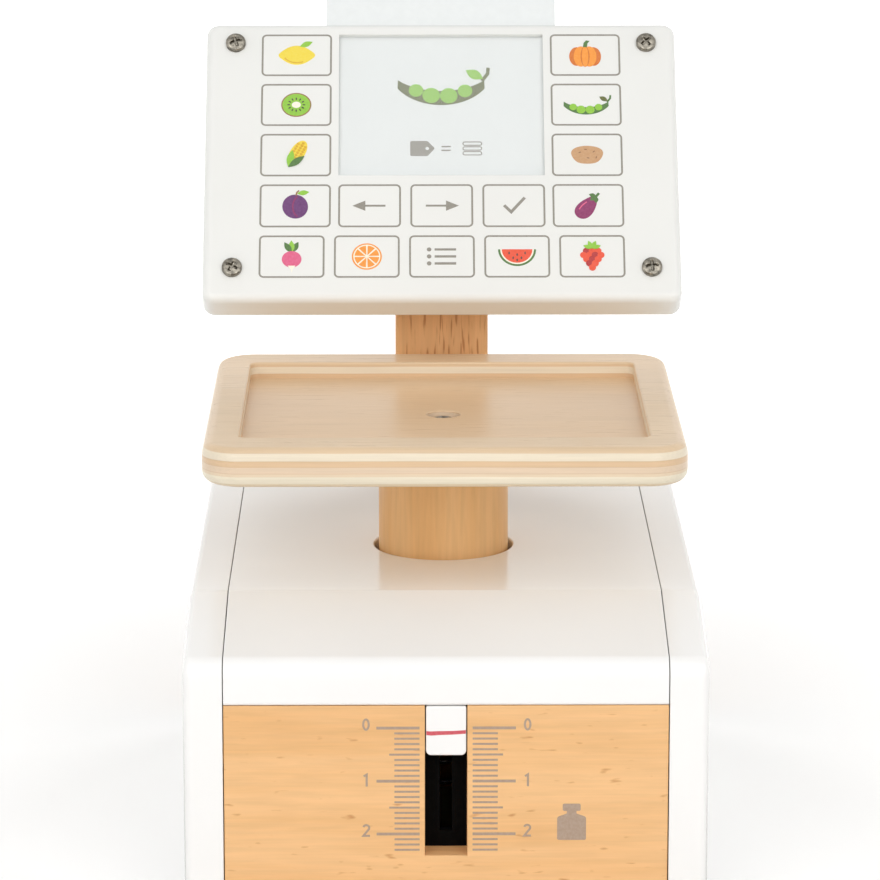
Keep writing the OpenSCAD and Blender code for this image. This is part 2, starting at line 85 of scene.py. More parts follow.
# Frames that flat profiles are drawn in
FLAT = Matrix.Identity(4)
ALONG_X = Matrix(((0, 0, 1, 0), (1, 0, 0, 0), (0, 1, 0, 0), (0, 0, 0, 1)))
ALONG_Y = Matrix(((1, 0, 0, 0), (0, 0, -1, 0), (0, 1, 0, 0), (0, 0, 0, 1)))
ON_DISPLAY = Matrix.Translation((0, DISPLAY_Y, DISPLAY_Z)) @ Matrix.Rotation(
    math.radians(90 - DISPLAY_TILT), 4, "X"
)
ON_CARD = ON_DISPLAY @ Matrix.Translation((0, 0, -PANE_T - CARD_GAP))
ON_FRONT = ALONG_Y @ Matrix.Translation((0, 0, -FRONT_LOW.y))
ON_POINTER = ALONG_Y @ Matrix.Translation((0, 0, -POINTER_LOW.y))


# Colours and materials


def srgb(r, g, b):
    """Linear colour of an sRGB triple from 0 to 255."""
    parts = [c / 255 for c in (r, g, b)]
    return [c / 12.92 if c <= 0.04045 else ((c + 0.055) / 1.055) ** 2.4 for c in parts] + [1.0]


class Finish:
    """One procedural material, built up node by node round a Principled shader."""

    def __init__(self, name, **values):
        self.material = bpy.data.materials.new(name)
        self.material.use_nodes = True
        self.tree = self.material.node_tree
        self.shader = self.tree.nodes["Principled BSDF"]
        for socket, value in values.items():
            self.shader.inputs[socket.replace("_", " ")].default_value = value
        self.coordinates = self.tree.nodes.new("ShaderNodeTexCoord").outputs["Object"]

    def node(self, kind, inputs=(), **settings):
        made = self.tree.nodes.new(kind)
        for key, value in settings.items():
            setattr(made, key, value)
        for key, value in dict(inputs).items():
            if isinstance(value, bpy.types.NodeSocket):
                self.tree.links.new(value, made.inputs[key])
            else:
                made.inputs[key].default_value = value
        return made

    def noise(self, scale, detail=3.0, roughness=0.5, distortion=0.0):
        """Noise over the object's own coordinates; scale is features per metre along X, Y and Z."""
        place = self.node("ShaderNodeMapping", {"Vector": self.coordinates, "Scale": scale})
        values = {
            "Vector": place.outputs[0], "Scale": 1.0, "Detail": detail,
            "Roughness": roughness, "Distortion": distortion,
        }
        return self.node("ShaderNodeTexNoise", values).outputs["Fac"]

    def ramp(self, factor, stops):
        """Colours or grey levels along a factor, as pairs of place and colour."""
        made = self.node("ShaderNodeValToRGB", {"Fac": factor})
        elements = made.color_ramp.elements
        while len(elements) < len(stops):
            elements.new(0.5)
        for element, (place, colour) in zip(elements, stops):
            element.position = place
            element.color = colour if hasattr(colour, "__len__") else [colour] * 3 + [1.0]
        return made.outputs["Color"]

    def mix(self, factor, a, b, blend="MIX"):
        made = self.node("ShaderNodeMix", data_type="RGBA", blend_type=blend)
        for socket, value in zip((made.inputs[0], made.inputs[6], made.inputs[7]), (factor, a, b)):
            if isinstance(value, bpy.types.NodeSocket):
                self.tree.links.new(value, socket)
            else:
                socket.default_value = value
        return made.outputs[2]

    def math(self, operation, a, b=0.0):
        return self.node("ShaderNodeMath", {0: a, 1: b}, operation=operation).outputs[0]

    def feed(self, socket, value):
        self.tree.links.new(value, self.shader.inputs[socket])

    def bump(self, height, strength, distance):
        values = {"Height": height, "Strength": strength, "Distance": distance}
        self.feed("Normal", self.node("ShaderNodeBump", values).outputs["Normal"])


def along(axis, length, across):
    """Scale of a texture that is drawn out along one axis."""
    return [length if i == axis else across for i in range(3)]


# Grain and wear as features per metre: one number for every way, a pair for along and across the grain,
# three for X, Y and Z
PAINT_CLOUD, PAINT_RUB, PAINT_PEBBLE = 14, 25, 420
BEECH_BAND, BEECH_STREAK, BEECH_FIBRE = (7, 110), (55, 520), (30, 1500)
PLY_RIPPLE, PLY_STREAK = [38, 38, 0], [16, 16, 900]
PLY_FIBRE, PLY_FIGURE = [34, 1500, 1500], [9, 90, 90]
TARNISH, SCRATCHES = 900, [300, 2600, 2600]
SMEAR, THIN_INK = 45, 1300
# Greatest height of the grain's relief, in metres
GRAIN_RELIEF, FINE_RELIEF = 0.0002, 0.0001
# Paint's clouds are darker by so many levels of 255, tarnish keeps a share of the tone, and thin ink goes a
# share of the way to white
CLOUD_DROP, TARNISH_TONE, INK_FADE = 3, 0.62, 0.12
LACQUER_IOR, ACRYLIC_IOR, ACRYLIC_ALPHA = 1.5, 1.49, 0.1
# Step in the noise from clear wood to a whole fleck
FLECK_BLEND = 0.11


def white_paint(name, colour, gloss=0.14):
    """Sprayed satin paint: faint cloudiness, and the fine pebbling of lacquer over wood."""
    finish = Finish(name, IOR=LACQUER_IOR)
    cloud = finish.noise([PAINT_CLOUD] * 3)
    pale = srgb(*colour)
    dull = srgb(*[c - CLOUD_DROP for c in colour])
    finish.feed("Base Color", finish.ramp(cloud, [(0.35, dull), (0.65, pale)]))
    rubbed = finish.noise([PAINT_RUB] * 3, 2.0)
    finish.feed("Roughness", finish.ramp(rubbed, [(0.3, gloss), (0.7, gloss + 0.03)]))
    finish.bump(finish.noise([PAINT_PEBBLE] * 3, 1.0), 0.015, FINE_RELIEF)
    return finish.material


def beech(
    name, axis, pale, deep, fleck, fleck_from, fleck_size=(170, 700), lines_from=0.94, specular=0.5
):
    """Lacquered beech: soft bands, streaks, fine fibres and the short dark flecks of its rays.

    The grain runs along an axis. Flecks show where their noise is above fleck_from, and fibres darken the
    wood to lines_from at most.
    """
    finish = Finish(name, IOR=LACQUER_IOR, Specular_IOR_Level=specular)
    band = finish.noise(along(axis, *BEECH_BAND), 3.0, 0.55, 0.6)
    colour = finish.ramp(band, [(0.32, srgb(*deep)), (0.62, srgb(*pale))])
    streak = finish.noise(along(axis, *BEECH_STREAK), 2.0, 0.5, 0.3)
    colour = finish.mix(0.8, colour, finish.ramp(streak, [(0.36, 0.93), (0.62, 1.0)]), "MULTIPLY")
    fibre = finish.noise(along(axis, *BEECH_FIBRE), 4.0, 0.6)
    lines = finish.ramp(fibre, [(0.3, lines_from), (0.62, 1.0)])
    colour = finish.mix(0.8, colour, lines, "MULTIPLY")
    dash = finish.noise(along(axis, *fleck_size), 1.0, 0.4)
    rays = finish.ramp(dash, [(fleck_from, 0.0), (fleck_from + FLECK_BLEND, 1.0)])
    colour = finish.mix(rays, colour, srgb(*fleck))
    finish.feed("Base Color", colour)
    finish.feed("Roughness", finish.ramp(fibre, [(0.3, 0.42), (0.7, 0.32)]))
    finish.bump(fibre, 0.12, GRAIN_RELIEF)
    return finish.material


# Waviness of the plies and softness of their edges, in millimetres
PLY_WAVE, PLY_BLEND = 0.18, 0.06


def plywood(name, low, plies, repeat=False):
    """Birch ply: long face grain, and on the edges a tone for each ply.

    The plies are pairs of thickness and tone, from the height low upwards, once or over and over.
    """
    finish = Finish(name, IOR=LACQUER_IOR)
    height = finish.node("ShaderNodeSeparateXYZ", {0: finish.coordinates}).outputs["Z"]
    thickness = sum(t for t, _ in plies)
    share = finish.math("MULTIPLY", finish.math("SUBTRACT", height, low * MM), 1 / (thickness * MM))
    ripple = finish.math("MULTIPLY", finish.noise(PLY_RIPPLE), 2 * PLY_WAVE / thickness)
    share = finish.math("ADD", share, finish.math("SUBTRACT", ripple, PLY_WAVE / thickness))
    if repeat:
        share = finish.math("FRACT", share)
    stops, level = [], 0.0
    for t, tone in plies:
        stops.append(((level + PLY_BLEND) / thickness, srgb(*tone)))
        level += t
        stops.append(((level - PLY_BLEND) / thickness, srgb(*tone)))
    colour = finish.ramp(share, stops)
    streak = finish.noise(PLY_STREAK, 3.0, 0.6)
    colour = finish.mix(0.7, colour, finish.ramp(streak, [(0.3, 0.93), (0.6, 1.0)]), "MULTIPLY")
    fibre = finish.noise(PLY_FIBRE, 4.0, 0.6)
    colour = finish.mix(0.5, colour, finish.ramp(fibre, [(0.3, 0.86), (0.65, 1.0)]), "MULTIPLY")
    figure = finish.noise(PLY_FIGURE, 3.0, 0.5, 1.2)
    colour = finish.mix(0.6, colour, finish.ramp(figure, [(0.3, 0.93), (0.6, 1.0)]), "MULTIPLY")
    finish.feed("Base Color", colour)
    finish.feed("Roughness", finish.ramp(fibre, [(0.3, 0.36), (0.7, 0.26)]))
    finish.bump(fibre, 0.1, GRAIN_RELIEF)
    return finish.material


def metal(name, colour, roughness):
    """Plated steel with cloudy tarnish and fine scratches."""
    finish = Finish(name, Metallic=1.0)
    tarnish = finish.noise([TARNISH] * 3, 4.0, 0.6)
    dark = srgb(*[c * TARNISH_TONE for c in colour])
    finish.feed("Base Color", finish.ramp(tarnish, [(0.35, dark), (0.65, srgb(*colour))]))
    finish.feed("Roughness", finish.ramp(tarnish, [(0.3, roughness + 0.14), (0.7, roughness)]))
    finish.bump(finish.noise(SCRATCHES, 2.0), 0.1, FINE_RELIEF)
    return finish.material


def matt(name, colour, dull, scale, roughness, depth, specular=0.5):
    """A matt surface with a cloudy colour and a pebbled or fibrous skin."""
    finish = Finish(name, Specular_IOR_Level=specular)
    cloud = finish.noise([scale] * 3, 4.0, 0.65)
    finish.feed("Base Color", finish.ramp(cloud, [(0.35, srgb(*dull)), (0.65, srgb(*colour))]))
    finish.feed("Roughness", finish.ramp(cloud, [(0.3, roughness), (0.7, roughness - 0.1)]))
    finish.bump(cloud, 0.25, depth)
    return finish.material


def clear_acrylic(name):
    """Clear pane with the faintest haze of handling on its gloss."""
    finish = Finish(name, IOR=ACRYLIC_IOR, Alpha=ACRYLIC_ALPHA, Base_Color=srgb(244, 247, 246))
    smear = finish.noise([SMEAR] * 3, 4.0)
    finish.feed("Roughness", finish.ramp(smear, [(0.4, 0.02), (0.75, 0.06)]))
    return finish.material


def ink(name, colour):
    """Screen-printed ink: nearly even, a little thin in places."""
    finish = Finish(name)
    thin = finish.noise([THIN_INK] * 3, 3.0, 0.6)
    light = srgb(*[c + (255 - c) * INK_FADE for c in colour])
    finish.feed("Base Color", finish.ramp(thin, [(0.3, srgb(*colour)), (0.75, light)]))
    finish.feed("Roughness", finish.ramp(thin, [(0.3, 0.35), (0.7, 0.5)]))
    return finish.material


PAINT = white_paint("white_paint", (247, 246, 244))
# Paint of the display, partly painted shade: a darker copy of the case's white that stands in for the tilted
# display catching less light than the front, with a duller satin of its own
SHADED_DISPLAY_PAINT = white_paint("shaded_display_paint", (238, 238, 234), 0.2)
BEECH_X = beech("beech_across", 0, (242, 193, 136), (234, 182, 122), (204, 146, 90), 0.7)
BEECH_COLUMN = beech(
    "beech_column", 2, (248, 200, 143), (242, 190, 130), (222, 166, 108), 0.76, (60, 700), 0.96, 0.15
)
BEECH_POST = beech("beech_post", 2, (234, 182, 127), (224, 169, 114), (186, 126, 77), 0.6, (110, 1300), 0.9)
BEECH_DOWEL = beech("beech_dowel", 0, (226, 176, 122), (212, 160, 106), (186, 134, 84), 0.72)
# Thickness of each ply in millimetres, and its tone; glue lines are thin plies
GLUE = (0.15, (218, 186, 150))
PLIES = (
    (1.3, (230, 209, 177)), (2.3, (240, 228, 204)), (0.9, (232, 210, 180)), GLUE,
    (1.8, (230, 205, 177)), GLUE, (1.6, (226, 193, 154)), GLUE,
    (2.2, (236, 222, 198)), (1.45, (226, 198, 162)),
)
PLY_TRAY = plywood("ply_tray", TRAY_LOW.z, PLIES)
PLY_CASE = plywood("ply_case", 0.0, PLIES, repeat=True)
BLACK = matt("black_paint", (5, 5, 5), (2, 2, 2), 500, 0.9, 0.0002, 0.08)
FELT = matt("felt", (92, 86, 80), (58, 54, 50), 1500, 0.95, 0.0006)
CARD = matt("card_stock", (236, 239, 238), (233, 236, 235), 350, 0.42, 0.00005)
SCREW = metal("screw_steel", (158, 152, 140), 0.22)
WIRE = metal("spring_steel", (176, 176, 178), 0.25)
ACRYLIC = clear_acrylic("clear_acrylic")

# CAD nodes that are kept as they are
for material, kept in (
    (BEECH_POST, ["post"]),
    (BEECH_COLUMN, ["column", "guide_rod", "corner_blocks"]),
    (BEECH_DOWEL, ["case_dowels"]),
    (PLY_CASE, ["bottom_board", "guide_block", "foot_plate"]),
    (BLACK, ["slot_backing", "pointer_arm"]),
    (SHADED_DISPLAY_PAINT, ["display_back_board", "display_plate"]),
    (SCREW, ["neck_screws", "foot_screws"]),
    (FELT, ["stop_pad"]),
    (ACRYLIC, ["display_pane"]),
    (CARD, ["picture_card"]),
):
    for node in kept:
        NODES[node].data.materials[0] = material


# Mesh helpers: closed loops of 2-D points, with the wood to the left of each loop

# How far print goes into its face, its height, and what each further layer adds
INK_SUNK, INK_TOP, INK_STEP = 0.01, 0.03, 0.015
# Angle from which an edge is sharp, for boards and for turned pieces
SHARP, ROUND_SHARP = 35.0, 50


def rounded(corners, radii, steps=8):
    """Closed loop whose corners are arcs of the given radii."""
    loop, count = [], len(corners)
    for i, (corner, r) in enumerate(zip(corners, radii)):
        p = Vector(corner)
        if not r:
            loop.append(p)
            continue
        to_last = (Vector(corners[i - 1]) - p).normalized()
        to_next = (Vector(corners[(i + 1) % count]) - p).normalized()
        half = to_last.angle(to_next) / 2
        centre = p + (to_last + to_next).normalized() * (r / math.sin(half))
        start = p + to_last * (r / math.tan(half)) - centre
        end = p + to_next * (r / math.tan(half)) - centre
        turn = math.atan2(start.x * end.y - start.y * end.x, start.dot(end))
        for k in range(steps + 1):
            loop.append(centre + Matrix.Rotation(turn * k / steps, 2) @ start)
    return loop


def rectangle(x0, y0, x1, y1, r=0.0, steps=8):
    return rounded([(x0, y0), (x1, y0), (x1, y1), (x0, y1)], [r] * 4, steps)


def ellipse(x, y, rx, ry=None, turn=0.0, count=40, start=0.0, sweep=360.0):
    """Points round an ellipse, or along a part of it, turned by an angle in degrees."""
    ry = rx if ry is None else ry
    whole = abs(sweep) == 360
    spin = Matrix.Rotation(math.radians(turn), 2)
    angles = [math.radians(start + sweep * i / (count if whole else count - 1)) for i in range(count)]
    return [Vector((x, y)) + spin @ Vector((rx * math.cos(a), ry * math.sin(a))) for a in angles]


def inset(loop, d):
    """The loop moved to its left by d, its corners mitred."""
    moved, count = [], len(loop)
    for i, p in enumerate(loop):
        a = (p - loop[i - 1]).normalized()
        b = (loop[(i + 1) % count] - p).normalized()
        na, nb = Vector((-a.y, a.x)), Vector((-b.y, b.x))
        moved.append(p + (na + nb) * (d / (1 + na.dot(nb))))
    return moved


class Mesh:
    """Faces of one piece, drawn in millimetres."""

    def __init__(self):
        self.bm = bmesh.new()
        self.slots = []

    def ring(self, loop, height, place):
        return [self.bm.verts.new(place @ Vector((p.x, p.y, height))) for p in loop]

    def strip(self, a, b, slot=0):
        for i in range(len(a)):
            face = self.bm.faces.new((a[i - 1], a[i], b[i], b[i - 1]))
            face.material_index = slot

    def cap(self, rings, slot=0):
        """Fills the first ring, less the others."""
        flat = [v for ring in rings for v in ring]
        for triangle in geometry.tessellate_polygon([[v.co for v in ring] for ring in rings]):
            face = self.bm.faces.new([flat[i] for i in triangle])
            face.material_index = slot

    def wall(self, loop, low, high, ease_low, ease_high, place, steps=4, slot=0):
        """Wall round a loop from low to high with both edges rounded; returns its lowest and highest ring."""
        levels = []
        for k in range(steps + 1 if ease_low else 1):
            a = math.radians(90 * k / steps)
            levels.append((ease_low * (1 - math.sin(a)), low + ease_low * (1 - math.cos(a))))
        for k in range(steps + 1 if ease_high else 1):
            a = math.radians(90 * k / steps)
            levels.append((ease_high * (1 - math.cos(a)), high - ease_high * (1 - math.sin(a))))
        rings = [self.ring(inset(loop, d), height, place) for d, height in levels]
        for a, b in zip(rings, rings[1:]):
            self.strip(a, b, slot)
        return rings[0], rings[-1]

    def prism(self, loops, low, high, eases=((0, 0),), place=FLAT, steps=4, slot=0):
        """Closed slab over a loop with holes; one pair of low and high edge radii for each loop."""
        eases = list(eases) + [eases[-1]] * (len(loops) - len(eases))
        ends = [self.wall(loop, low, high, *ease, place, steps, slot) for loop, ease in zip(loops, eases)]
        self.cap([end[0] for end in ends], slot)
        self.cap([end[1] for end in ends], slot)

    def slip(self, loop, material, layer, place, holes=()):
        """Thin layer of ink or veneer on a face; higher layers lie over lower ones."""
        if material not in self.slots:
            self.slots.append(material)
        top = INK_TOP + INK_STEP * layer
        self.prism([loop, *holes], -INK_SUNK, top, place=place, slot=self.slots.index(material))

    def piece(self, name, body, materials=None, slot=None, replaced=(), smooth=SHARP):
        """Turns the faces into an object that rides on a CAD body."""
        bmesh.ops.recalc_face_normals(self.bm, faces=self.bm.faces)
        bmesh.ops.scale(self.bm, vec=(MM, MM, MM), verts=self.bm.verts)
        mesh = bpy.data.meshes.new(name)
        self.bm.to_mesh(mesh)
        self.bm.free()
        for material in materials or self.slots:
            mesh.materials.append(material)
        made = bpy.data.objects.new(name, mesh)
        bpy.context.scene.collection.objects.link(made)
        if smooth:
            mesh.shade_smooth()
            mesh.set_sharp_from_angle(angle=math.radians(smooth))
            weighted = made.modifiers.new("even_faces", "WEIGHTED_NORMAL")
            weighted.keep_sharp = True
        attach(made, body)
        if replaced:
            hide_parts(*replaced)
        return made


# Case: painted sides, top and nose, with beech let in at front and back

# Edges of the boards: gap at a seam, radii of their easing, and steps round each
SEAM = 0.25
SIDE_EASE, SMALL_EASE, PANEL_EASE, CRISP_EASE, HIDDEN_EASE, HOLE_EASE = 2.5, 0.3, 0.35, 0.15, 0.1, 0.5
BACK_R, BEND_R = 4, 12
OUTLINE_STEPS, SIDE_STEPS, PANEL_STEPS = 10, 6, 3
COLUMN_HOLE_SIDES, SCREW_ROOM = 96, 0.05
front_y, back_y, case_h = SIDE_LOW.y, SIDE_HIGH.y, SIDE_HIGH.z
edge_y, top_z, lip_z = TOP_LOW.y, TOP_LOW.z, FRONT_HIGH.z
inner_front_y = FRONT_HIGH.y
half_w = SIDE_LOW.x
board_w = half_w - SEAM

side_loop = rounded(
    [(front_y, 0), (back_y, 0), (back_y, case_h), (edge_y, case_h), (front_y, case_h - NOSE_DROP)],
    [0, 0, BACK_R, BEND_R, NOSE_R], OUTLINE_STEPS,
)
right_side = Mesh()
right_side.prism([side_loop], half_w, SIDE_HIGH.x, [(SMALL_EASE, SIDE_EASE)], ALONG_X, SIDE_STEPS)
right_side.piece("right_side", "case", [PAINT], "white_paint", ["right_side_panel"])
left_side = Mesh()
left_side.prism([side_loop], -SIDE_HIGH.x, -half_w, [(SIDE_EASE, SMALL_EASE)], ALONG_X, SIDE_STEPS)
left_side.piece("left_side", "case", [PAINT], "white_paint", ["left_side_panel"])

top = Mesh()
top_loops = [
    rectangle(-board_w, edge_y, board_w, back_y),
    ellipse(0, COLUMN_Y, COLUMN_HOLE_D / 2, count=COLUMN_HOLE_SIDES)[::-1],
    rectangle(
        -POST_W / 2 - POST_GAP, BACK_LOW.y - POST_T - POST_GAP, POST_W / 2 + POST_GAP, BACK_LOW.y + POST_GAP
    )[::-1],
]
top_eases = [(HIDDEN_EASE, ease) for ease in (CRISP_EASE, HOLE_EASE, CRISP_EASE)]
top.prism(top_loops, top_z, case_h, top_eases)
top.piece("top", "case", [PAINT], "white_paint", ["top_board"])

slope = NOSE_DROP / (edge_y - front_y)
under_z = max(lip_z + LIP_EASE, top_z - slope * (edge_y - inner_front_y))
nose_loop = rounded(
    [
        (edge_y, case_h), (front_y, case_h - NOSE_DROP), (front_y, lip_z), (inner_front_y, lip_z),
        (inner_front_y, under_z), (edge_y, top_z),
    ],
    [0, NOSE_R, LIP_EASE, SMALL_EASE, 0, 0], OUTLINE_STEPS,
)
nose = Mesh()
nose.prism([nose_loop], -board_w, board_w, [(SMALL_EASE, SMALL_EASE)], ALONG_X, PANEL_STEPS)
nose.piece("nose", "case", [PAINT], "white_paint", ["nose_rail"])

slot_x = SLOT_W / 2
front_loop = [Vector(p) for p in (
    (-board_w, 0), (board_w, 0), (board_w, lip_z - SEAM / 2), (slot_x, lip_z - SEAM / 2), (slot_x, SLOT_Z),
    (-slot_x, SLOT_Z), (-slot_x, lip_z - SEAM / 2), (-board_w, lip_z - SEAM / 2),
)]
front = Mesh()
front.prism([front_loop], -FRONT_HIGH.y, -FRONT_LOW.y, [(HIDDEN_EASE, PANEL_EASE)], ALONG_Y, PANEL_STEPS)
front.piece("front", "case", [BEECH_X], "beech", ["front_panel"])

back = Mesh()
screw_low, screw_high = box_mm("post_screws")
screw_r = HEAD_D / 2
back_loops = [rectangle(-board_w, 0, board_w, top_z)] + [
    ellipse(0, z, screw_r + SCREW_ROOM)[::-1] for z in (screw_low.z + screw_r, screw_high.z - screw_r)
]
back_eases = [(PANEL_EASE, HIDDEN_EASE), (CRISP_EASE, 0)]
back.prism(back_loops, -BACK_HIGH.y, -BACK_LOW.y, back_eases, ALONG_Y, PANEL_STEPS)
back.piece("back", "case", [BEECH_X], "beech", ["back_panel"])

# Weighing slide: ply tray with a routed recess, and the pointer

RECESS_EASE, BORE_EASE = 0.7, 0.3
CORNER_STEPS, TRAY_STEPS, RECESS_STEPS, BORE_STEPS = 12, 8, 4, 3
BORE_SIDES, HOLE_SIDES = 64, 32
tray = Mesh()
tray_top = TRAY_HIGH.z
floor_z = tray_top - RECESS_DEPTH
bore_z = floor_z - COUNTERBORE_DEPTH
tray_loop = rectangle(TRAY_LOW.x, TRAY_LOW.y, TRAY_HIGH.x, TRAY_HIGH.y, TRAY_CORNER_R, CORNER_STEPS)
recess_loop = rectangle(
    TRAY_LOW.x + RIM_SIDE, TRAY_LOW.y + RIM_END, TRAY_HIGH.x - RIM_SIDE, TRAY_HIGH.y - RIM_END, RECESS_R
)[::-1]
bore_loop = ellipse(0, COLUMN_Y, COUNTERBORE_D / 2, count=BORE_SIDES)[::-1]
hole_loop = ellipse(0, COLUMN_Y, TRAY_HOLE_D / 2, count=HOLE_SIDES)[::-1]
under, rim = tray.wall(tray_loop, TRAY_LOW.z, tray_top, TRAY_EDGE_R, TRAY_EDGE_R, FLAT, TRAY_STEPS)
recess_floor, recess_rim = tray.wall(recess_loop, floor_z, tray_top, 0, RECESS_EASE, FLAT, RECESS_STEPS)
bore_floor, bore_rim = tray.wall(bore_loop, bore_z, floor_z, 0, BORE_EASE, FLAT, BORE_STEPS)
hole_low, hole_rim = tray.wall(hole_loop, TRAY_LOW.z, bore_z, 0, 0, FLAT)
tray.cap([under, hole_low])
tray.cap([rim, recess_rim])
tray.cap([recess_floor, bore_rim])
tray.cap([bore_floor, hole_rim])
tray.piece("tray_top", "weighing", [PLY_TRAY], "plywood", ["tray"])

POINTER_FOOT_R, POINTER_TOP_R, POINTER_EASES = 1.5, 0.6, (0.2, 0.5)
pointer = Mesh()
pointer_loop = rounded(
    [
        (POINTER_LOW.x, POINTER_LOW.z), (POINTER_HIGH.x, POINTER_LOW.z),
        (POINTER_HIGH.x, POINTER_HIGH.z), (POINTER_LOW.x, POINTER_HIGH.z),
    ],
    [POINTER_FOOT_R, POINTER_FOOT_R, POINTER_TOP_R, POINTER_TOP_R],
)
pointer.prism([pointer_loop], -POINTER_HIGH.y, -POINTER_LOW.y, [POINTER_EASES], ALONG_Y)
pointer.piece("pointer_block", "weighing", [PAINT], "white_paint", ["pointer"])


# Screws with a cross recess: rounded heads on the display and in the tray, flat heads behind and below

# Cross: reach and half width of an arm, depth, slant of its walls, and the run and curve of its ends
CROSS_ARM, CROSS_HALF, CROSS_DEPTH, CROSS_SLANT, CROSS_RUN, CROSS_CURVE = 2.0, 0.42, 1.0, 0.24, 0.8, 0.7
# Heads: corners and rings of the face and the share of its flat middle; then the bow of a pan head, and for
# both kinds the share of the face in the radius and the easing round it
HEAD_SIDES, HEAD_RINGS, HEAD_MIDDLE = 96, 18, 0.06
PAN_BOW, PAN_FACE, PAN_EASE, PAN_STEPS = 0.22, 0.82, 0.8, 4
FLAT_FACE, FLAT_EASE = 0.96, 0.12


def cross_screw(mesh, place, length, turn, pan=True):
    """Wood screw along -Z of its frame: a pan head stands on Z = 0, a flat head lies flush below it."""
    radius, rings = HEAD_D / 2, []
    spin = place @ Matrix.Rotation(math.radians(turn), 4, "Z")
    crown, face = (HEAD_H, PAN_FACE) if pan else (0.0, FLAT_FACE)
    for i in range(HEAD_RINGS):
        share = HEAD_MIDDLE + (face - HEAD_MIDDLE) * i / (HEAD_RINGS - 1)
        loop = []
        for p in ellipse(0, 0, share * radius, count=HEAD_SIDES):
            far, near = max(abs(p.x), abs(p.y)), min(abs(p.x), abs(p.y))
            inside = min(1.0, max(0.0, (CROSS_HALF - near) / CROSS_SLANT + 0.5))
            reach = min(1.0, max(0.0, (CROSS_ARM - far) / CROSS_RUN))
            z = crown * (1 - PAN_BOW * share * share) - CROSS_DEPTH * inside * reach ** CROSS_CURVE
            loop.append(mesh.bm.verts.new(spin @ Vector((p.x, p.y, z))))
        rings.append(loop)
    if pan:
        edge_z = crown * (1 - PAN_BOW * face * face)
        profile = []
        for k in range(1, PAN_STEPS + 1):
            a = math.radians(90 * k / PAN_STEPS)
            r = radius * (face + (1 - face) * math.sin(a))
            profile.append((r, edge_z - PAN_EASE * (1 - math.cos(a))))
        profile += [(radius, 0.0), (SHANK_D / 2, 0.0)]
    else:
        profile = [(radius, -FLAT_EASE), (SHANK_D / 2, -HEAD_H)]
    for r, z in profile + [(SHANK_D / 2, TIP_L - length), (TIP_R, -length)]:
        rings.append(mesh.ring(ellipse(0, 0, r, count=HEAD_SIDES), z, spin))
    for a, b in zip(rings, rings[1:]):
        mesh.strip(a, b)
    mesh.cap([rings[0]])
    mesh.cap([rings[-1]])


screws = Mesh()
for x, y, turn in (
    (-SCREW_X, SCREW_TOP, 18), (SCREW_X, SCREW_TOP, 40), (-SCREW_X, SCREW_LOW, 62), (SCREW_X, SCREW_LOW, 5),
):
    at = ON_DISPLAY @ Matrix.Translation((x, y, 0))
    cross_screw(screws, at, PLATE_T + BOARD_T - TIP_L / 2, turn)
screws.piece("corner_screws", "case", [SCREW], "screw_steel", ["display_screws"], ROUND_SHARP)
middle_screw = Mesh()
cross_screw(middle_screw, Matrix.Translation((0, COLUMN_Y, bore_z)), TRAY_SCREW_L, 27)
middle_screw.piece("middle_screw", "weighing", [SCREW], "screw_steel", ["tray_screw"], ROUND_SHARP)

rear_screws = Mesh()
to_back = Matrix.Rotation(math.radians(-90), 4, "X")
for z, turn in ((screw_low.z + screw_r, 33), (screw_high.z - screw_r, 71)):
    at = Matrix.Translation((0, BACK_HIGH.y, z)) @ to_back
    cross_screw(rear_screws, at, screw_high.y - screw_low.y, turn, pan=False)
rear_screws.piece("rear_screws", "case", [SCREW], "screw_steel", ["post_screws"], ROUND_SHARP)
under_screws = Mesh()
base_low, base_high = box_mm("base_screws")
to_floor = Matrix.Rotation(math.radians(180), 4, "X")
for x, turn in ((base_low.x + screw_r, 12), (base_high.x - screw_r, 55)):
    for y, more in ((base_low.y + screw_r, 0), (base_high.y - screw_r, 23)):
        at = Matrix.Translation((x, y, 0)) @ to_floor
        cross_screw(under_screws, at, base_high.z - base_low.z, turn + more, pan=False)
under_screws.piece("under_screws", "case", [SCREW], "screw_steel", ["base_screws"], ROUND_SHARP)

# Coil spring: round wire on the same helix as the solid

RINGS, SIDES = 36, 12
spring_length = SPRING_HIGH.z - SPRING_LOW.z
close_pitch = WIRE_D + CLOSE_GAP
open_turns = SPRING_TURNS - 2
open_pitch = (spring_length - WIRE_D - 2 * close_pitch) / open_turns


def coil_height(turn):
    """Height of the wire's middle above its lower end after so many turns."""
    eased = min(max(turn - 1, 0), open_turns)
    closed = min(turn, 1) + max(turn - 1 - open_turns, 0)
    return closed * close_pitch + eased * open_pitch


spring = Mesh()
spring_rings = []
for i in range(RINGS * SPRING_TURNS + 1):
    a = math.tau * i / RINGS
    section = []
    for k in range(SIDES):
        b = math.tau * k / SIDES
        r = SPRING_D / 2 + WIRE_D / 2 * math.cos(b)
        z = SPRING_LOW.z + WIRE_D / 2 * (1 + math.sin(b)) + coil_height(i / RINGS)
        section.append(spring.bm.verts.new((r * math.cos(a), COLUMN_Y + r * math.sin(a), z)))
    spring_rings.append(section)
for a, b in zip(spring_rings, spring_rings[1:]):
    spring.strip(a, b)
spring.cap([spring_rings[0]])
spring.cap([spring_rings[-1]])
coil = spring.piece("coil_spring", "case", [WIRE], "spring_steel", ["spring"], ROUND_SHARP)
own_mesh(coil)

# Printed marks: the scale beside the slot, the line on the pointer, the keys and the card

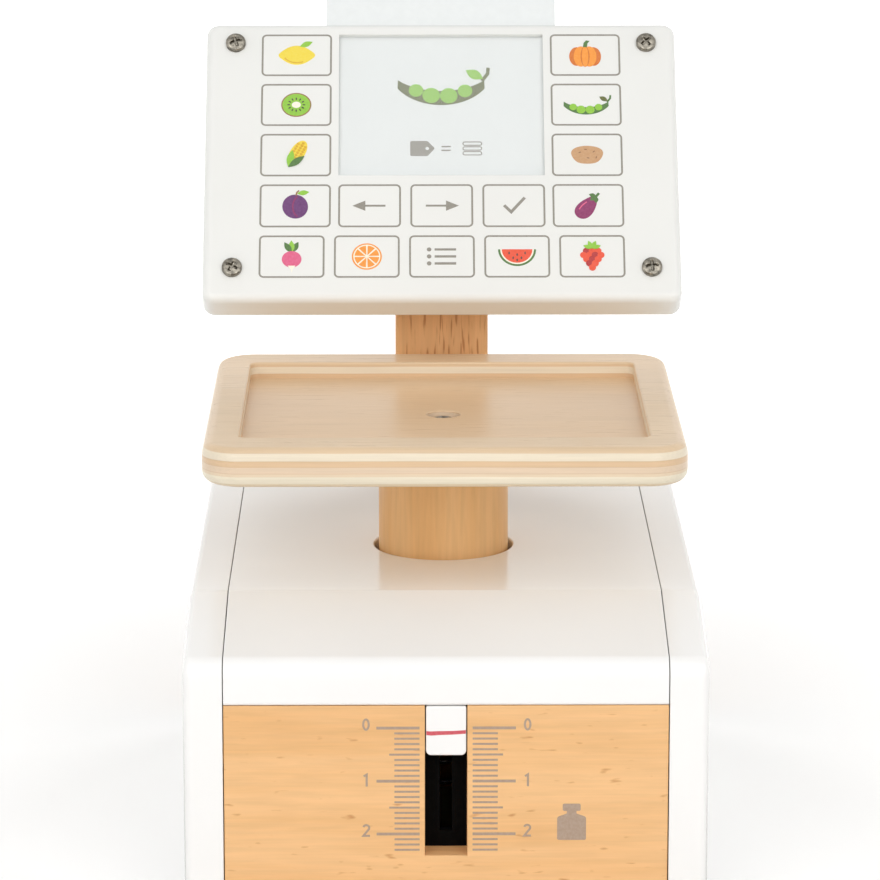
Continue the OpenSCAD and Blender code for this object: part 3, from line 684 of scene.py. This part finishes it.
INK = {
    "grey": ink("ink_grey", (140, 135, 124)),
    "mark": ink("ink_mark", (166, 142, 122)),
    "red_line": ink("ink_red_line", (200, 74, 84)),
    "leaf": ink("ink_leaf", (140, 196, 58)),
    "green": ink("ink_green", (74, 112, 52)),
    "olive": ink("ink_olive", (92, 98, 44)),
    "yellow": ink("ink_yellow", (240, 214, 66)),
    "amber": ink("ink_amber", (222, 176, 44)),
    "orange": ink("ink_orange", (243, 150, 52)),
    "rust": ink("ink_rust", (212, 112, 40)),
    "red": ink("ink_red", (232, 78, 48)),
    "dark_red": ink("ink_dark_red", (176, 44, 44)),
    "plum": ink("ink_plum", (134, 40, 92)),
    "violet": ink("ink_violet", (96, 44, 104)),
    "pink": ink("ink_pink", (222, 92, 132)),
    "tan": ink("ink_tan", (198, 152, 108)),
    "brown": ink("ink_brown", (146, 102, 66)),
    "cream": ink("ink_cream", (248, 242, 222)),
    "dark": ink("ink_dark", (70, 62, 54)),
}


def stroke(points, width):
    """Outline of a line of even width through some points."""
    points = [Vector(p) for p in points]
    left, right = [], []
    for i, p in enumerate(points):
        a = (p - points[i - 1]).normalized() if i else None
        b = (points[i + 1] - p).normalized() if i + 1 < len(points) else None
        a, b = a or b, b or a
        na, nb = Vector((-a.y, a.x)), Vector((-b.y, b.x))
        side = (na + nb) * (width / 2 / (1 + na.dot(nb)))
        left.append(p + side)
        right.append(p - side)
    return left + right[::-1]


class Drawing:
    """Flat shapes printed on one face; each lies over what was drawn before it."""

    def __init__(self, place):
        self.mesh, self.place = Mesh(), place
        self.x = self.y = 0.0
        self.size, self.layer = 1.0, 0

    def at(self, x, y, size=1.0):
        self.x, self.y, self.size, self.layer = x, y, size, 0
        return self

    def shape(self, colour, loop, *holes):
        move = [
            [Vector((self.x + self.size * p.x, self.y + self.size * p.y)) for p in points]
            for points in (loop, *holes)
        ]
        self.mesh.slip(move[0], INK[colour], self.layer, self.place, move[1:])
        self.layer += 1

    def line(self, colour, points, width):
        self.shape(colour, stroke(points, width))

    def frame(self, colour, x0, y0, x1, y1, r, width):
        self.shape(
            colour, rectangle(x0, y0, x1, y1, r, 6),
            rectangle(x0 + width, y0 + width, x1 - width, y1 - width, r - width, 6)[::-1],
        )


NUMERAL_LINE = 0.62


def numeral(drawing, digit, colour):
    """0, 1 or 2 as strokes in a box 2.2 wide and 3.7 high, about its middle."""
    width = NUMERAL_LINE
    if digit == 0:
        drawing.shape(colour, ellipse(0, 0, 1.1, 1.85), ellipse(0, 0, 1.1 - width, 1.85 - width)[::-1])
    elif digit == 1:
        drawing.line(colour, [(-0.7, 1.2), (0.15, 1.75), (0.15, -1.85)], width)
    else:
        bow = ellipse(0, 0.85, 0.85, 0.8, start=165, sweep=-200, count=16)
        drawing.line(colour, [*bow, (-0.85, -1.6), (1.05, -1.6)], width)


scale = Drawing(ON_FRONT)
ZERO_Z, UNIT, DIVISIONS, LAST = 56.3, 16.0, 10, 23
TICK_X, TICK_LONG, TICK_HALF, TICK_SHORT = 7.7, 20.2, 16.5, 15.0
TICK_THICK, TICK_THIN = 0.85, 0.6
NUMERAL_LEFT, NUMERAL_RIGHT = -23.2, 23.6
WEIGHT_X, WEIGHT_Z = 36.5, 27.8
for step in range(LAST + 1):
    z = ZERO_Z - UNIT * step / DIVISIONS
    whole, half_step = step % DIVISIONS == 0, step % DIVISIONS == DIVISIONS // 2
    end = TICK_LONG if whole else TICK_HALF if half_step else TICK_SHORT
    thick = TICK_THICK if whole else TICK_THIN
    for side in (-1, 1):
        scale.at(0, z).line("mark", [(side * TICK_X, 0), (side * end, 0)], thick)
for digit, lift in ((0, 1.05), (1, 0.25), (2, 1.05)):
    for x in (NUMERAL_LEFT, NUMERAL_RIGHT):
        numeral(scale.at(x, ZERO_Z - UNIT * digit + lift), digit, "mark")
weight = scale.at(WEIGHT_X, WEIGHT_Z)
weight.shape("mark", rounded(
    [
        (-4.2, -5.4), (4.2, -5.4), (4.2, 1.6), (1.4, 2.6), (1.4, 3.4), (2.6, 3.4), (2.6, 5.6), (-2.6, 5.6),
        (-2.6, 3.4), (-1.4, 3.4), (-1.4, 2.6), (-4.2, 1.6),
    ],
    [0.5, 0.5, 0.8, 0.3, 0, 0.5, 0.5, 0.5, 0.5, 0, 0.3, 0.8], 4,
))
scale.mesh.piece("scale_marks", "case", smooth=0)

# A line ruled by hand, a little uneven, nearly as wide as the pointer
LINE_Z, LINE_MARGIN = 54.9, 0.12
red_line = Drawing(ON_POINTER)
line_x = POINTER_HIGH.x - LINE_MARGIN
red_line.at(0, LINE_Z).shape("red_line", [Vector(p) for p in (
    (-line_x, -0.7), (-line_x * 0.75, -0.88), (-line_x * 0.4, -0.72), (line_x * 0.3, -0.6), (line_x, -0.34),
    (line_x, 0.74), (line_x * 0.3, 0.5), (-line_x * 0.4, 0.44), (-line_x * 0.75, 0.36), (-line_x, 0.46),
)])
red_line.mesh.piece("pointer_line", "weighing", smooth=0)


# Keys with plain drawings of fruit and vegetables


def leaf(drawing, colour, x, y, length, width, turn):
    spin = Matrix.Rotation(math.radians(turn), 2)
    upper = [(length * t / 8, width * math.sin(math.pi * t / 8)) for t in range(9)]
    lower = [(length * t / 8, -width * math.sin(math.pi * t / 8)) for t in range(7, 0, -1)]
    drawing.shape(colour, [Vector((x, y)) + spin @ Vector(p) for p in upper + lower])


def kiwi(d):
    d.shape("brown", ellipse(0, 0, 5.0, 4.6))
    d.shape("leaf", ellipse(0, 0, 4.6, 4.2))
    d.shape("cream", ellipse(0, 0, 1.5, 1.2))
    for i in range(12):
        a = math.tau * i / 12
        d.shape("dark", ellipse(2.5 * math.cos(a), 2.3 * math.sin(a), 0.5, 0.22, 30 * i, 10))


def lemon(d):
    points = []
    for i in range(48):
        a = math.tau * i / 48
        x = 5.2 * math.cos(a) + 0.9 * math.cos(a) ** 9
        points.append(Vector((x, 3.7 * math.sin(a) * (1 - 0.12 * math.cos(a) ** 2))))
    d.shape("yellow", points)
    d.line("amber", ellipse(0, 0, 4.2, 2.9, start=200, sweep=100, count=14), 0.45)
    leaf(d, "leaf", 1.0, 3.3, 4.6, 1.0, 24)


def corn(d):
    d.shape("yellow", ellipse(0.6, 0.9, 2.5, 5.0, -28))
    spin = Matrix.Rotation(math.radians(-28), 2)
    for row in range(-4, 5):
        for k in (-1, 0, 1):
            p = Vector((0.6, 0.9)) + spin @ Vector((k * 1.35, row * 1.0))
            if abs(row) + abs(k) < 5:
                d.shape("amber", ellipse(p.x, p.y, 0.5, 0.36, -28, 10))
    leaf(d, "leaf", -2.4, -4.6, 6.4, 1.2, 78)
    leaf(d, "green", -2.4, -4.6, 6.6, 1.1, 38)


def plum(d):
    d.shape("violet", ellipse(0, -0.3, 4.2, 4.5, 12))
    d.line("plum", ellipse(1.6, -0.3, 2.4, 4.0, start=110, sweep=140, count=16), 0.5)
    d.line("brown", [(0.2, 3.8), (0.5, 5.0), (1.2, 5.7)], 0.5)
    leaf(d, "leaf", 0.6, 4.6, 4.0, 0.9, 8)


def pea_pod(d, skin="green", leaf_colour="olive", leaf_length=3.2, leaf_width=0.8, sides=20):
    pod = ellipse(0, 3.6, 9.0, 7.4, start=214, sweep=112, count=24)
    top_edge = ellipse(0, 4.6, 9.4, 5.6, start=322, sweep=-104, count=24)
    d.shape(skin, pod + top_edge)
    for x, y, r in ((-4.3, -0.9, 1.25), (-1.7, -1.9, 1.5), (1.3, -1.95, 1.5), (4.1, -1.0, 1.25)):
        d.shape("leaf", ellipse(x, y, r, count=sides))
    d.line(skin, [(7.0, 1.0), (8.0, 2.4), (8.1, 3.6)], 0.6)
    leaf(d, leaf_colour, 7.2, 1.4, leaf_length, leaf_width, 150)


def potato(d):
    points = [
        Vector(((5.2 + 0.35 * math.sin(3 * a)) * math.cos(a), (3.7 + 0.3 * math.cos(2 * a)) * math.sin(a)))
        for a in (math.tau * i / 40 for i in range(40))
    ]
    d.shape("tan", points)
    for x, y, turn in ((-2.4, 0.9, 20), (0.3, -1.2, -10), (2.2, 1.2, 40), (-0.5, 2.0, 0), (3.0, -1.0, 70)):
        d.shape("brown", ellipse(x, y, 0.5, 0.2, turn, 10))


def pumpkin(d):
    for x, r in ((-2.8, 2.5), (2.8, 2.5)):
        d.shape("rust", ellipse(x, -0.6, r, 3.6))
    for x, r in ((-1.4, 2.4), (1.4, 2.4)):
        d.shape("orange", ellipse(x, -0.6, r, 3.9))
    d.shape("rust", ellipse(0, -0.6, 1.5, 4.0))
    d.shape("orange", ellipse(0, -0.6, 1.1, 4.0))
    stalk = ((-0.7, 3.0), (0.7, 3.0), (0.9, 4.6), (1.6, 5.4), (0.4, 5.6), (-0.4, 4.6))
    d.shape("green", [Vector(p) for p in stalk])


def aubergine(d):
    points = [
        Vector((2.2 * math.cos(a) * (1.25 - 0.45 * math.sin(a)), 5.0 * math.sin(a) - 0.6))
        for a in (math.tau * i / 40 for i in range(40))
    ]
    spin = Matrix.Rotation(math.radians(-38), 2)
    d.shape("plum", [spin @ p for p in points])
    d.line("pink", [spin @ Vector(p) for p in ((-1.5, -3.0), (-1.6, -1.2), (-1.2, 0.8))], 0.4)
    for turn in (12, -38, -92):
        leaf(d, "green", 2.7, 3.4, 2.5, 0.75, turn - 106)
    d.line("green", [(2.6, 3.3), (3.6, 4.6)], 0.8)


def radish(d):
    for turn in (62, 92, 122):
        leaf(d, "leaf" if turn == 92 else "green", 0, 1.4, 4.6, 1.0, turn)
    d.shape("pink", ellipse(0, -1.0, 3.2, 3.0))
    root = ((-1.3, -3.4), (1.3, -3.4), (0.3, -4.7), (0.1, -6.0), (-0.2, -4.7))
    d.shape("cream", [Vector(p) for p in root])


def orange_half(d):
    d.shape("orange", ellipse(0, 0, 4.9))
    d.shape("cream", ellipse(0, 0, 4.4))
    for i in range(8):
        a, b = math.radians(45 * i + 4), math.radians(45 * i + 41)
        arc = ellipse(0, 0, 4.0, start=math.degrees(a), sweep=math.degrees(b - a), count=7)
        middle = Vector((0.5 * math.cos((a + b) / 2), 0.5 * math.sin((a + b) / 2)))
        d.shape("orange", [middle, *arc])


def melon(d):
    for colour, r in (("green", 6.2), ("cream", 5.5), ("red", 5.0)):
        d.shape(colour, ellipse(0, 2.6, r, start=180, sweep=180, count=28))
    for x, y in ((-2.6, 1.2), (0, 0.6), (2.6, 1.2), (-1.3, -0.6), (1.4, -0.6), (0, -1.4)):
        d.shape("dark", ellipse(x, y, 0.26, 0.5, 0, 10))


def raspberry(d):
    for row, count in enumerate((3, 4, 3, 2, 1)):
        for i in range(count):
            x, y = 1.9 * (i - (count - 1) / 2), 2.0 - 1.55 * row
            d.shape("dark_red" if (row + i) % 3 == 0 else "red", ellipse(x, y, 1.15, count=18))
    for turn in (20, 65, 115, 160):
        leaf(d, "leaf", 0, 2.9, 3.0, 0.7, turn)


def arrow(d, way):
    d.line("grey", [(-5.2 * way, 0), (2.0 * way, 0)], 0.7)
    d.shape("grey", [Vector((way * x, y)) for x, y in ((5.6, 0), (1.4, 1.9), (1.4, -1.9))][::way])


def tick(d):
    d.line("grey", [(-3.2, 0.1), (-0.9, -2.4), (3.6, 3.0)], 1.0)


def tally(d):
    for y in (2.6, 0, -2.6):
        d.shape("grey", ellipse(-4.2, y, 0.75, count=18))
        d.line("grey", [(-2.4, y), (4.6, y)], 0.8)


keys = Drawing(ON_DISPLAY)
KEY_LINE, KEY_R, KEY_ART = 0.6, 1.6, 0.98


def key(x0, y0, x1, y1, draw, *args):
    keys.at(0, 0).frame("grey", x0, y0, x1, y1, KEY_R, KEY_LINE)
    keys.at((x0 + x1) / 2, (y0 + y1) / 2, KEY_ART)
    keys.layer = 1
    draw(keys, *args)


KEY_OUT, KEY_IN, KEY_GAP, ROW_LOW, ROW_TOP, COLUMN_FOOT = 58.5, 35.6, 3.0, 8.0, 23.4, 26.4
COLUMN_TOP = WINDOW_Y + WINDOW_H
key_h = (COLUMN_TOP - COLUMN_FOOT - 3 * KEY_GAP) / 4
for row, (left_draw, right_draw) in enumerate(
    ((lemon, pumpkin), (kiwi, pea_pod), (corn, potato), (plum, aubergine))
):
    y1 = COLUMN_TOP - row * (key_h + KEY_GAP)
    key(-KEY_OUT, y1 - key_h, -KEY_IN, y1, left_draw)
    key(KEY_IN, y1 - key_h, KEY_OUT, y1, right_draw)
key_w = (2 * KEY_OUT - 4 * KEY_GAP) / 5
for i, draw in enumerate((radish, orange_half, tally, melon, raspberry)):
    x0 = -KEY_OUT + i * (key_w + KEY_GAP)
    key(x0, ROW_LOW, x0 + key_w, ROW_TOP, draw)
middle_w = (WINDOW_W - 2 * KEY_GAP) / 3
for i, (draw, *args) in enumerate(((arrow, -1), (arrow, 1), (tick,))):
    x0 = -WINDOW_W / 2 + i * (middle_w + KEY_GAP)
    key(x0, COLUMN_FOOT, x0 + middle_w, COLUMN_FOOT + key_h, draw, *args)
keys.mesh.piece("key_print", "case", smooth=0)

# The card: a pea pod, and below it a price tag, an equals sign and a pile of notes
CARD_ART_Y, CARD_ART, SIGN_Y = 80.0, 1.9, 56.5
TAG_X, EQUALS_X, NOTES_X = -6.5, 1.5, 10.0
card = Drawing(ON_CARD)
card.at(0.0, CARD_ART_Y, CARD_ART)
pea_pod(card, "olive", "leaf", 3.4, 0.9, 28)
card.at(TAG_X, SIGN_Y)
tag_loop = rounded([(-3.6, -2.8), (2.0, -2.8), (4.4, 0), (2.0, 2.8), (-3.6, 2.8)], [0.5] * 5, 4)
card.shape("grey", tag_loop, ellipse(1.9, 0, 0.6, count=18)[::-1])
card.at(EQUALS_X, SIGN_Y)
for y in (0.7, -0.7):
    card.line("grey", [(-1.5, y), (1.5, y)], 0.5)
card.at(NOTES_X, SIGN_Y)
for y in (-1.8, 0, 1.8):
    card.frame("grey", -3.2, y - 0.8, 3.2, y + 0.8, 0.79, 0.35)
card.mesh.piece("card_print", "card", smooth=0)

# Stage: pale floor, white surroundings, soft boxes and the camera


def seen_directly(tree):
    """Output that is 1 for rays from the camera and for reflections and refractions."""
    path = tree.nodes.new("ShaderNodeLightPath")
    total = path.outputs["Is Camera Ray"]
    for name in ("Is Glossy Ray", "Is Transmission Ray"):
        both = tree.nodes.new("ShaderNodeMath")
        both.operation = "MAXIMUM"
        tree.links.new(total, both.inputs[0])
        tree.links.new(path.outputs[name], both.inputs[1])
        total = both.outputs[0]
    return total


# Light of the white tent: little along the horizon and most from above
AMBIENT, MORE_ABOVE = 0.05, 0.57
world = bpy.data.worlds.new("surroundings")
bpy.context.scene.world = world
world.use_nodes = True
tree = world.node_tree
shade = tree.nodes["Background"]
shade.inputs["Color"].default_value = (1.0, 1.0, 1.0, 1.0)
direction = tree.nodes.new("ShaderNodeTexCoord").outputs["Generated"]
lean = tree.nodes.new("ShaderNodeVectorMath")
lean.operation = "DOT_PRODUCT"
lean.inputs[1].default_value = (0.0, 0.0, MORE_ABOVE)
tree.links.new(direction, lean.inputs[0])
tent = tree.nodes.new("ShaderNodeMath")
tent.operation = "ADD"
tent.inputs[1].default_value = AMBIENT
tree.links.new(lean.outputs["Value"], tent.inputs[0])
lift = tree.nodes.new("ShaderNodeMapRange")
lift.inputs["To Max"].default_value = 1.0
tree.links.new(tent.outputs[0], lift.inputs["To Min"])
tree.links.new(seen_directly(tree), lift.inputs["Value"])
tree.links.new(lift.outputs["Result"], shade.inputs["Strength"])

# Floor of white paper that glows where it is seen directly: a little by the object, more further out
FLOOR_HALF, FLOOR_Z, PAPER_GRAIN = 4.0, -0.0004, 160
FLOOR_LIFT, FAR_LIFT, LIFT_FROM, LIFT_TO = 0.17, 0.6, 0.15, 0.7
floor_mesh = bpy.data.meshes.new("floor")
floor_corners = [(x * FLOOR_HALF, y * FLOOR_HALF, FLOOR_Z) for x, y in ((-1, -1), (1, -1), (1, 1), (-1, 1))]
floor_mesh.from_pydata(floor_corners, [], [(0, 1, 2, 3)])
floor = bpy.data.objects.new("floor", floor_mesh)
bpy.context.scene.collection.objects.link(floor)
paper = Finish("paper", Roughness=0.9, Specular_IOR_Level=0.1, Emission_Color=(1, 1, 1, 1))
fleece = paper.noise([PAPER_GRAIN] * 3)
paper.feed("Base Color", paper.ramp(fleece, [(0.3, srgb(237, 236, 235)), (0.7, srgb(239, 239, 238))]))
away = paper.node("ShaderNodeVectorMath", {0: paper.coordinates}, operation="LENGTH").outputs["Value"]
glow = paper.node("ShaderNodeMapRange", {
    "Value": away, "From Min": LIFT_FROM, "From Max": LIFT_TO, "To Min": FLOOR_LIFT, "To Max": FAR_LIFT,
}).outputs["Result"]
paper.feed("Emission Strength", paper.math("MULTIPLY", seen_directly(paper.tree), glow))
floor_mesh.materials.append(paper.material)

# Pairs of soft boxes, one on each side: place of the right one, watts, and whether glossy surfaces mirror it
LAMPS = {
    "front": ((0.7, -1.58, 0.8), 8.0, True),
    "high": ((0.6, -1.0, 1.6), 4.3, True),
    "side": ((1.7, -0.3, 0.5), 2.6, True),
    "back": ((1.2, 1.4, 0.6), 12.0, False),
}
LAMP_SIZE = 1.0
AIM = Vector((0.0, 0.0, 0.1))
for side in (-1, 1):
    for name, ((x, y, z), watts, mirrored) in LAMPS.items():
        lamp = bpy.data.lights.new(name, "AREA")
        lamp.shape, lamp.size, lamp.energy = "SQUARE", LAMP_SIZE, watts
        soft_box = bpy.data.objects.new(name, lamp)
        soft_box.location = side * x, y, z
        soft_box.visible_glossy = mirrored
        soft_box.rotation_mode = "QUATERNION"
        soft_box.rotation_quaternion = (AIM - Vector((side * x, y, z))).to_track_quat("-Z", "Y")
        bpy.context.scene.collection.objects.link(soft_box)

# Camera fitted to the photograph: place in metres, angles in degrees, lens and sensor in millimetres
CAMERA = (-0.0106, -1.4005, 0.4292)
YAW, PITCH, LENS, SENSOR = 0.39, 12.5, 190.37, 36.0
camera = bpy.data.cameras.new("camera")
camera.lens, camera.sensor_width = LENS, SENSOR
eye = bpy.data.objects.new("camera", camera)
eye.location = CAMERA
yaw, pitch = math.radians(YAW), math.radians(PITCH)
forward = Vector((math.sin(yaw) * math.cos(pitch), math.cos(yaw) * math.cos(pitch), -math.sin(pitch)))
eye.rotation_mode = "QUATERNION"
eye.rotation_quaternion = forward.to_track_quat("-Z", "Y")
bpy.context.scene.collection.objects.link(eye)
bpy.context.scene.camera = eye

bpy.context.scene.view_settings.view_transform = "Standard"
